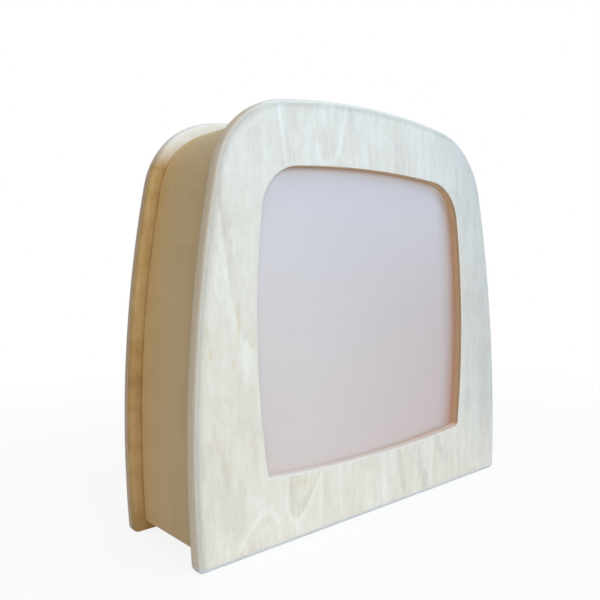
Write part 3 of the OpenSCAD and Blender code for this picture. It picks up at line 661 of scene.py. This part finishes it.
def plywood(name, middle_y, seed, plies, mounds=(), flecks=(), streaks=(), sill=False, tan_inside=False):
    """Sanded birch plywood: veneers on both faces, and on the edges the plies between them."""
    g = Graph(name)
    from_middle = g.math("SUBTRACT", g.axis("Y"), middle_y)
    depth = g.math("ABSOLUTE", from_middle)
    across = g.span(g.axis("X"), FRONT_LOW.x, FRONT_HIGH.x)
    up = g.span(g.axis("Z"), FRONT_LOW.z, FRONT_HIGH.z)
    tone, fibre = veneer_tone(g, seed, mounds)
    face = pale_face(g, tone, across, up, flecks, streaks)
    core = ply_layers(g, depth, plies)
    if sill:
        # Painted light on the sill, and painted shade to its right and by the pane
        core = shaded_sill(g, core, across, depth)
    else:
        # Painted highlight: the plies go pale on the top edge
        core = core if tan_inside else lit_top_edge(g, core, depth)
        # Painted shade: the edge that faces down turns grey
        core = g.mix(g.span(g.normal("Z"), *FOOT_TURN), core, FOOT_SHADE_TONE)
    grit = g.noise((140, 2200, 140), detail=3, rough=0.65)
    core = g.mix(GRIT_SHARE, core, g.ramp(grit, GRIT_TONES), "MULTIPLY")
    if tan_inside:
        # Painted light: the inner veneer and its plies turn pale at the top
        top_light = g.span(g.axis("Z"), *LIT_TOP_Z)
        face = g.mix(g.math("LESS_THAN", from_middle, 0.0), face, tan_face(g, tone, up, top_light))
        core = g.mix(g.math("MULTIPLY", top_light, LIT_TOP_SHARE), core, LIT_TOP_TONES[-1][1])
    colour = g.mix(g.math("GREATER_THAN", depth, plies[-1][0]), core, face)
    rough = g.span(tone, 0, 1, *PANEL_ROUGH)
    g.set(Base_Color=colour, Roughness=rough, Specular_IOR_Level=WOOD_SHEEN)
    g.bump(g.math("ADD", fibre, g.math("MULTIPLY", grit, GRIT_HEIGHT)), *PANEL_BUMP)
    return g.material


def bent_veneer(name):
    """Thin tan plywood of the bent band: faint rings across the bend, warmer at the rear seam, with painted
    shade towards its foot and in the seam.
    """
    g = Graph(name)
    height = g.noise((3, 9, 30), detail=1.5, distort=0.4, move=(4, 1, 2))
    fibre = g.noise((60, 40, 900), detail=3, rough=0.6)
    cloud = g.noise((14, 18, 14), detail=2)
    tone = blend(g, 0.5, (growth_rings(g, height), 0.14), (fibre, 0.2), (cloud, 0.45))
    warm = g.span(g.axis("Y"), 0.0, BAND_HIGH.y)
    colour = g.mix(warm, g.ramp(tone, BAND_TONES), SEAM_TINT, "MULTIPLY")
    # Painted shade towards the band's foot
    low = g.span(g.axis("Z"), BAND_HIGH.z / 2, BAND_LOW.z)
    colour = g.mix(low, colour, BAND_FOOT_SHADE, "MULTIPLY")
    # Painted shade in the seam beside the rear panel
    seam_y = BAND_HIGH.y - SEAM
    colour = g.mix(g.span(g.axis("Y"), seam_y - SEAM, seam_y), colour, SEAM_SHADE)
    rough = g.span(tone, 0, 1, *BAND_ROUGH)
    g.set(Base_Color=colour, Roughness=rough, Specular_IOR_Level=WOOD_SHEEN)
    g.bump(fibre, *BAND_BUMP)
    return g.material


def near_walls(g, shape):
    """Distance from the window's right wall, in shares of the reach. The top and the sill shade less far."""
    side = wall_gap(g, shape["side_r"], shape["half_w"] - shape["side_r"], shape["widest_z"])
    top = wall_gap(g, shape["crown_r"], 0.0, shape["top_z"] - shape["crown_r"], TOP_SCALE)
    start = g.span(g.axis("X"), PANE_LOW.x, PANE_HIGH.x, *SILL_START)
    sill = wall_gap(g, shape["sag_r"], 0.0, shape["base_z"] + shape["sag_r"], SILL_SCALE, start)
    corner = g.math("SMOOTH_MIN", side, top)
    corner.node.inputs[2].default_value = shape["shoulder_r"] / 2
    return g.span(g.math("MINIMUM", corner, sill), 0.0, WALL_REACH)


def opal_acrylic(name):
    """Frosted opal sheet: lavender above and rosy below as painted light, with a painted warm shade on its
    right and beside the window's walls.
    """
    g = Graph(name)
    height = g.span(g.axis("Z"), PANE_LOW.z, PANE_HIGH.z)
    # Painted light: lavender above, rosy below
    tint = g.ramp(height, PANE_LIGHT_TINTS)
    across = g.span(g.axis("X"), PANE_LOW.x / 2, PANE_HIGH.x)
    # Painted shade low on the right
    low_right_shade = g.math("MULTIPLY", across, g.span(height, *LOW_RIGHT_RISE))
    tint = g.mix(low_right_shade, tint, LOW_RIGHT_SHADE, "MULTIPLY")
    # Painted shade and painted brown reflection beside the window's walls
    tint = g.mix(1.0, tint, g.ramp(near_walls(g, window_shape()), WALL_SHADE_TINTS), "MULTIPLY")
    frost = g.noise((2600, 2600, 2600), detail=2)
    cloud = g.noise((9, 9, 9), detail=1)
    colour = g.mix(CLOUD_SHARE, tint, g.ramp(cloud, PANE_CLOUDS))
    rough = g.span(frost, 0, 1, *FROST_ROUGH)
    g.set(Base_Color=colour, Roughness=rough, Specular_IOR_Level=FROST_SHEEN)
    g.bump(frost, *FROST_BUMP)
    return g.material


def moulded(name, colour, rough, grain=1500, depth=0.03):
    """Moulded plastic or lacquer with a fine texture."""
    g = Graph(name)
    texture = g.noise((grain,) * 3, detail=3, rough=0.6)
    dark = tuple(MOULD_DARK * c for c in colour)
    light = tuple(min(1.0, MOULD_LIGHT * c) for c in colour)
    g.set(Base_Color=g.ramp(texture, ((0.3, dark), (0.7, light))))
    g.set(Roughness=g.span(texture, 0, 1, *[rough + spread for spread in MOULD_SPREAD]))
    g.bump(texture, MOULD_BUMP, depth * MM)
    return g.material


def metal(name, colour, rough):
    """Plated metal with fine turning marks and a little tarnish."""
    g = Graph(name)
    marks = g.noise((400, 4000, 400), detail=3, rough=0.6)
    tarnish = g.noise((180,) * 3, detail=2)
    dark = tuple(TARNISH * c for c in colour)
    g.set(Base_Color=g.ramp(tarnish, ((0.3, dark), (0.65, colour))), Metallic=1.0)
    g.set(Roughness=g.span(marks, 0, 1, *[rough + spread for spread in METAL_SPREAD]))
    g.bump(marks, *METAL_BUMP)
    return g.material


def phosphor(name):
    """Cast yellow resin of the lights, a little mottled."""
    g = Graph(name)
    grain = g.noise((900,) * 3, detail=2)
    g.set(Base_Color=g.ramp(grain, RESIN_TONES), Roughness=g.span(grain, 0, 1, *RESIN_ROUGH))
    return g.material


FRONT_WOOD = plywood(
    "front_plywood", FRONT_MIDDLE, FRONT_SEED, EDGE_PLIES, FRONT_MOUNDS, FRONT_FLECKS, FRONT_STREAKS)
WINDOW_WOOD = plywood("window_edge", FRONT_MIDDLE, FRONT_SEED, WINDOW_PLIES_SHADED, sill=True)
REAR_WOOD = plywood("rear_plywood", REAR_MIDDLE, REAR_SEED, REAR_PLIES, REAR_MOUNDS, tan_inside=True)
BAND_WOOD = bent_veneer("bent_plywood")
SLOT_MATERIALS = {
    "birch_panel": FRONT_WOOD,
    "birch_band": BAND_WOOD,
    "opal_acrylic": opal_acrylic("opal_acrylic"),
    "white_board": moulded("white_board", (0.82, 0.82, 0.8), 0.55),
    "white_plastic": moulded("white_plastic", (0.78, 0.77, 0.73), 0.4),
    "led_phosphor": phosphor("led_phosphor"),
    "red_insulation": moulded("red_insulation", (0.45, 0.03, 0.025), 0.45),
    "black_insulation": moulded("black_insulation", (0.025, 0.025, 0.027), 0.45),
    "black_plastic": moulded("black_plastic", (0.022, 0.022, 0.024), 0.42, 2600, 0.05),
    "zinc_steel": metal("zinc_steel", (0.56, 0.56, 0.57), 0.4),
    "brass": metal("brass", (0.72, 0.52, 0.2), 0.28),
}


# Pieces


def front_panel():
    """Front panel with both edges rounded over, the window with its eased arris, and the pane's rebate."""
    bm = bmesh.new()
    low, high = rounded_edge(bm, panel_shape(), FRONT_LOW.y, FRONT_HIGH.y)
    plain = len(bm.faces)
    mouth, edge = eased_mouth(bm, lambda inset: loaf(window_shape(), inset), FRONT_LOW.y, 1)
    pane_edge = ring(bm, loaf(window_shape(), 0), PANE_LOW.y)
    rebate = ring(bm, loaf(window_shape(), -REBATE_W), PANE_LOW.y)
    rebate_back = ring(bm, loaf(window_shape(), -REBATE_W), FRONT_HIGH.y)
    walls(bm, [edge, pane_edge, rebate, rebate_back])
    bm.faces.ensure_lookup_table()
    for face in bm.faces[plain:]:
        face.material_index = 1
    fill(bm, [low, mouth])
    fill(bm, [high, rebate_back])
    piece = add_piece("front_panel_ply", bm, "case", FRONT_WOOD)
    piece.data.materials.append(WINDOW_WOOD)
    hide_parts("front_panel")


def hole_places(node, count):
    """Middles of a node's loose pieces as (x, z), sorted by x."""
    bm = bmesh.new()
    bm.from_mesh(frame["nodes"][node].data)
    bmesh.ops.remove_doubles(bm, verts=bm.verts, dist=MERGE_GAP)
    left = set(bm.verts)
    middles = []
    while left:
        stack = [left.pop()]
        island = list(stack)
        while stack:
            for edge in stack.pop().link_edges:
                for v in edge.verts:
                    if v in left:
                        left.remove(v)
                        stack.append(v)
                        island.append(v)
        xs = [v.co.x for v in island]
        zs = [v.co.z for v in island]
        middles.append(((min(xs) + max(xs)) / 2, (min(zs) + max(zs)) / 2))
    bm.free()
    assert len(middles) == count, f"{node} has {len(middles)} pieces, not {count}"
    return sorted(middles)


def sunk_hole(bm, x, z):
    """Countersunk screw hole. Gives its rings on the outer and on the inner face."""
    head_r = HEAD_R + HOLE_GAP
    outer = ring(bm, circle(x, z, head_r), REAR_HIGH.y)
    throat = ring(bm, circle(x, z, SCREW_HOLE_R), REAR_HIGH.y - (head_r - SCREW_HOLE_R))
    inner = ring(bm, circle(x, z, SCREW_HOLE_R), REAR_LOW.y)
    walls(bm, [outer, throat, inner])
    return outer, inner


def recess_outline(inset):
    """Outline of the recess for switch and inlet, moved inward."""
    half_w = RECESS_HALF_W - inset
    half_h = RECESS_HALF_H - inset
    return round_rect(0, service_middle().z, half_w, half_h, RECESS_R - inset)


def rear_panel():
    """Rear panel with both edges rounded over, countersunk screw holes and the recess."""
    bm = bmesh.new()
    low, high = rounded_edge(bm, panel_shape(), REAR_LOW.y, REAR_HIGH.y)
    inner_holes, outer_holes = [low], [high]
    for x, z in hole_places("rear_screws", SCREW_COUNT):
        outer, inner = sunk_hole(bm, x, z)
        inner_holes.append(inner)
        outer_holes.append(outer)
    web_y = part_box("switch_housing")[1].y - BEZEL_T
    mouth, edge = eased_mouth(bm, recess_outline, REAR_HIGH.y, -1)
    floor = ring(bm, recess_outline(0), web_y)
    wall(bm, edge, floor)
    floor_holes = [floor]
    for outline in (switch_hole(), inlet_hole()):
        outer = ring(bm, outline, web_y)
        inner = ring(bm, outline, REAR_LOW.y)
        wall(bm, outer, inner)
        floor_holes.append(outer)
        inner_holes.append(inner)
    outer_holes.append(mouth)
    fill(bm, inner_holes)
    fill(bm, outer_holes)
    fill(bm, floor_holes)
    piece = add_piece("rear_panel_ply", bm, "case", REAR_WOOD)
    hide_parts("rear_panel")


def service_middle():
    """Middle of the inlet, which lies at the height of the switch too."""
    low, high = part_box("jack_body")
    return (low + high) / 2


def switch_hole():
    """Cut-out round the switch housing."""
    low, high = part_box("switch_housing")
    middle = (low + high) / 2
    half_w = (high.x - low.x) / 2 - BEZEL_LAP + CUT_GAP
    half_h = (high.z - low.z) / 2 - BEZEL_LAP + CUT_GAP
    return round_rect(middle.x, middle.z, half_w, half_h, CUT_GAP)


def inlet_hole():
    """Hole round the inlet's thread."""
    return circle(service_middle().x, service_middle().z, THREAD_R + HOLE_GAP)


def side_band():
    """Bent band, from the front panel to a fine seam before the rear panel."""
    bm = bmesh.new()
    shape = panel_shape(BAND_LOW.z, 0.0)
    eased = ARRIS_R / 2

    def strip(inset):
        """Open outline over the top, cut off at the band's lower edge."""
        return loaf({**shape, "base_z": BAND_LOW.z - inset}, inset)

    def loop(cut):
        """Closed outline of the bent strip, cut back on both of its sides."""
        outer = strip(BAND_INSET + cut)
        inner = strip(BAND_INSET + BAND_T - cut)
        return outer + list(reversed(inner))

    back_y = BAND_HIGH.y - SEAM
    places = ((BAND_LOW.y, 0.0), (back_y - eased, 0.0), (back_y, eased))
    rings = [ring(bm, loop(cut), y) for y, cut in places]
    walls(bm, rings)
    for end in (rings[0], rings[-1]):
        count = len(end)
        for i in range(count // 2 - 1):
            bm.faces.new((end[i], end[i + 1], end[count - 2 - i], end[count - 1 - i]))
    piece = add_piece("side_band_ply", bm, "case", BAND_WOOD)
    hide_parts("side_band")


def add_mark(name, outlines, place):
    """Thin printed shape on the rocker, drawn round its own middle and then put in its place."""
    bm = bmesh.new()
    low = [ring(bm, outline, -MARK_SINK) for outline in outlines]
    high = [ring(bm, outline, MARK_LIFT) for outline in outlines]
    for a, b in zip(low, high):
        wall(bm, a, b)
    fill(bm, low)
    fill(bm, high)
    bmesh.ops.transform(bm, matrix=place, verts=bm.verts)
    add_piece(name, bm, "rocker", SLOT_MATERIALS["white_plastic"])


def rocker_marks():
    """A bar on the rocker's on half and a ring on its off half. The two halves meet in a shallow V."""
    joint = frame["record"]["behaviour"]["joints"][0]
    tilt = math.radians(joint["range_deg"][1]) / 2
    pivot = Vector(joint["pos_m"])
    middle = Matrix.Translation((0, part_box("switch_housing")[1].y - pivot.y, 0))
    at_rest = Matrix.Translation(pivot) @ Matrix.Rotation(-tilt, 4, "X") @ middle
    bar = [round_rect(0, MARK_OUT, MARK_LINE / 2, MARK_R, MARK_LINE / 4)]
    rings = [circle(0, -MARK_OUT, MARK_R), circle(0, -MARK_OUT, MARK_R - MARK_LINE)]
    add_mark("rocker_mark_on", bar, at_rest @ Matrix.Rotation(-tilt, 4, "X"))
    add_mark("rocker_mark_off", rings, at_rest @ Matrix.Rotation(tilt, 4, "X"))


def dress_nodes():
    """Gives every CAD node the material of its slot."""
    for row in frame["record"]["subparts"]:
        materials = frame["nodes"][row["node"]].data.materials
        materials.clear()
        materials.append(SLOT_MATERIALS[row["material_slot"]])


# Stage

FLOOR_SIZE = 12.0
# Light that the floor sends back, by the distance from its middle
FLOOR_BOUNCE = ((0.14, (0.92, 0.90, 0.88)), (0.3, (0.80, 0.67, 0.54)))
# Floor as it is seen: its matt colour, its least glow, and the distances between which it turns plain white
FLOOR_MATT = (0.9, 0.9, 0.9, 1)
FLOOR_GLOW = 0.88
NEAR_FLOOR = 0.2
FAR_FLOOR = 0.6
AMBIENT = 0.165
AMBIENT_COLOUR = (0.86, 1.0, 1.18)
# Lamps: name, place, size, power and colour
LAMPS = (
    ("key", (0.58, -1.14, 1.05), 0.8, 6.4, (0.72, 1.0, 1.33)),
    ("sky", (-0.1, -0.5, 1.5), 0.8, 6.4, (1.0, 1.0, 1.06)),
    ("front_fill", (-0.15, -0.62, 0.25), 0.3, 0.83, (0.88, 1.0, 1.04)),
    ("left_fill", (-0.75, -0.95, 0.15), 0.6, 3.55, (1.11, 1.0, 0.85)),
    ("rear", (0.78, 0.95, 0.3), 0.5, 9.5, (1.05, 1.0, 0.92)),
)


def add_camera():
    """Camera as fitted to the photograph."""
    data = bpy.data.cameras.new("camera")
    data.sensor_fit = "HORIZONTAL"
    data.sensor_width = SENSOR
    data.lens = SENSOR * FOCAL_PIXELS / IMAGE_SIDE
    camera = bpy.data.objects.new("camera", data)
    turn = Matrix.Rotation(CAMERA_YAW, 4, "Z")
    tilt = Matrix.Rotation(math.pi / 2 + CAMERA_PITCH, 4, "X")
    roll = Matrix.Rotation(CAMERA_ROLL, 4, "Z")
    camera.matrix_world = Matrix.Translation(CAMERA_PLACE) @ turn @ tilt @ roll
    bpy.context.scene.collection.objects.link(camera)
    bpy.context.scene.camera = camera


def add_area(name, place, size, power, colour):
    """Square lamp that shines at the middle of the box."""
    data = bpy.data.lights.new(name, "AREA")
    data.size = size
    data.energy = power
    data.color = colour
    lamp = bpy.data.objects.new(name, data)
    lamp.location = place
    target = Vector((0, 0, FRONT_HIGH.z / 2))
    lamp.rotation_euler = (target - Vector(place)).to_track_quat("-Z", "Y").to_euler()
    bpy.context.scene.collection.objects.link(lamp)


def seen_rays(nodes, links):
    """1 for rays from the camera, and for mirrored and transmitted ones."""
    path = nodes.new("ShaderNodeLightPath")
    total = path.outputs["Is Camera Ray"]
    for name in ("Is Glossy Ray", "Is Transmission Ray"):
        add = nodes.new("ShaderNodeMath")
        add.operation = "MAXIMUM"
        links.new(total, add.inputs[0])
        links.new(path.outputs[name], add.inputs[1])
        total = add.outputs[0]
    return total


def add_world(ambient, colour):
    """White where it is seen, dimmer as light."""
    world = bpy.data.worlds.new("world")
    bpy.context.scene.world = world
    world.use_nodes = True
    nodes, links = world.node_tree.nodes, world.node_tree.links
    light = nodes["Background"]
    light.inputs["Color"].default_value = (*colour, 1)
    light.inputs["Strength"].default_value = ambient
    seen = nodes.new("ShaderNodeBackground")
    seen.inputs["Color"].default_value = (1, 1, 1, 1)
    seen.inputs["Strength"].default_value = 1.0
    mix = nodes.new("ShaderNodeMixShader")
    links.new(seen_rays(nodes, links), mix.inputs["Fac"])
    links.new(light.outputs[0], mix.inputs[1])
    links.new(seen.outputs[0], mix.inputs[2])
    links.new(mix.outputs[0], nodes["World Output"].inputs["Surface"])


def add_floor():
    """Floor that bounces warm light, and is seen as white with the box's soft shadow on it."""
    bpy.ops.mesh.primitive_plane_add(size=FLOOR_SIZE)
    floor = bpy.context.object
    floor.name = "floor"
    g = Graph("floor")
    nodes, links = g.nodes, g.links
    bounce = nodes.new("ShaderNodeBsdfDiffuse")
    matt = nodes.new("ShaderNodeBsdfDiffuse")
    matt.inputs["Color"].default_value = FLOOR_MATT
    white = nodes.new("ShaderNodeEmission")
    away = nodes.new("ShaderNodeVectorMath")
    away.operation = "LENGTH"
    links.new(g.place, away.inputs[0])
    whiteness = g.span(away.outputs["Value"], NEAR_FLOOR, FAR_FLOOR, FLOOR_GLOW, 1.0)
    links.new(g.ramp(away.outputs["Value"], FLOOR_BOUNCE), bounce.inputs["Color"])
    seen = nodes.new("ShaderNodeMixShader")
    links.new(whiteness, seen.inputs["Fac"])
    links.new(matt.outputs[0], seen.inputs[1])
    links.new(white.outputs[0], seen.inputs[2])
    mix = nodes.new("ShaderNodeMixShader")
    links.new(seen_rays(nodes, links), mix.inputs["Fac"])
    links.new(bounce.outputs[0], mix.inputs[1])
    links.new(seen.outputs[0], mix.inputs[2])
    links.new(mix.outputs[0], nodes["Material Output"].inputs["Surface"])
    floor.data.materials.append(g.material)


dress_nodes()
front_panel()
rear_panel()
side_band()
rocker_marks()
add_camera()
for lamp in LAMPS:
    add_area(*lamp)
add_world(AMBIENT, AMBIENT_COLOUR)
add_floor()
bpy.context.scene.view_settings.view_transform = "Standard"
